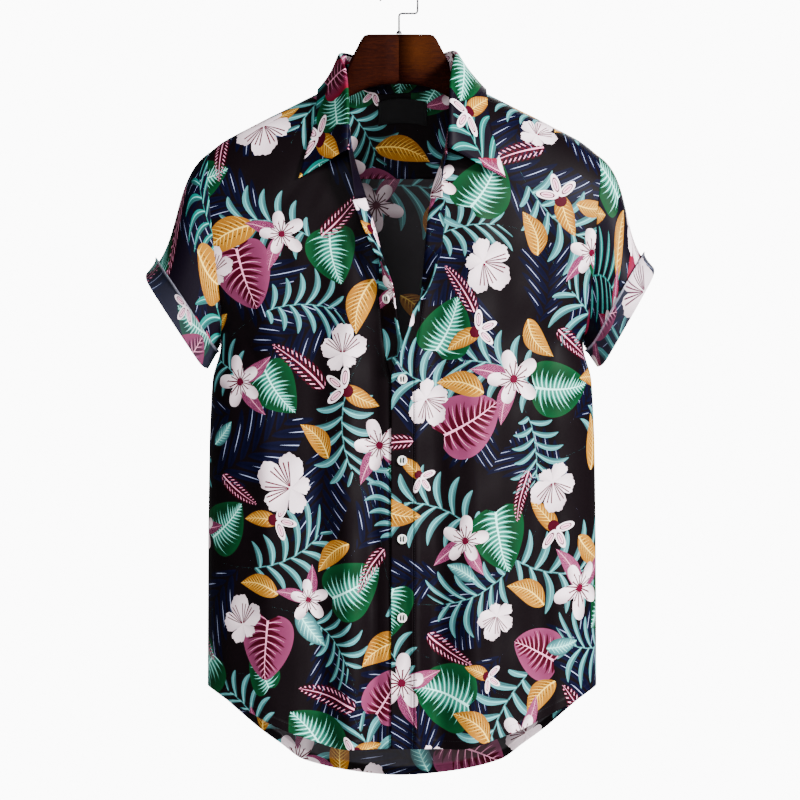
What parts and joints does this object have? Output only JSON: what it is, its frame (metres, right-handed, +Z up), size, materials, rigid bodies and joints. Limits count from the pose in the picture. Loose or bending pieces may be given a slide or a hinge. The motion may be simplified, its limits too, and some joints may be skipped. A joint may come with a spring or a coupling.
{
  "type": "hawaiian shirt on hanger",
  "caption": "Short-sleeved printed hawaiian shirt with an open turn-down collar and turned-up cuffs, hanging on a dark wooden hanger.",
  "frame": {"origin": "inner top of the hanger's hook, where a rail carries it", "axes": "+Z up, -Y out of the shirt's front, +X towards the wearer's left"},
  "size_m": [0.5671, 0.1916, 0.8911],
  "materials": {
    "printed_cloth": "matt cotton print of leaves and flowers on near-black",
    "cloth_wrong_side": "the print's paler wrong side, on the turned-up cuffs",
    "button_white": "gloss",
    "woven_label": "black satin weave",
    "walnut": "dark lacquer",
    "dark_steel": "drawn wire"
  },
  "bodies": {
    "root": {"front_left": "printed_cloth", "front_right": "printed_cloth", "front_band_left": "printed_cloth", "front_band_right": "printed_cloth", "back": "printed_cloth", "yoke": "printed_cloth", "collar_stand": "printed_cloth", "collar_leaf": "printed_cloth", "sleeve_left": "printed_cloth", "sleeve_right": "printed_cloth", "cuff_left": "cloth_wrong_side", "cuff_right": "cloth_wrong_side", "button_1": "button_white", "button_2": "button_white", "button_3": "button_white", "button_4": "button_white", "button_5": "button_white", "neck_label": "woven_label", "hanger_half_left": "walnut", "hanger_half_right": "walnut", "hanger_hook": "dark_steel", "hook_ferrule": "dark_steel"}
  },
  "joints": []
}
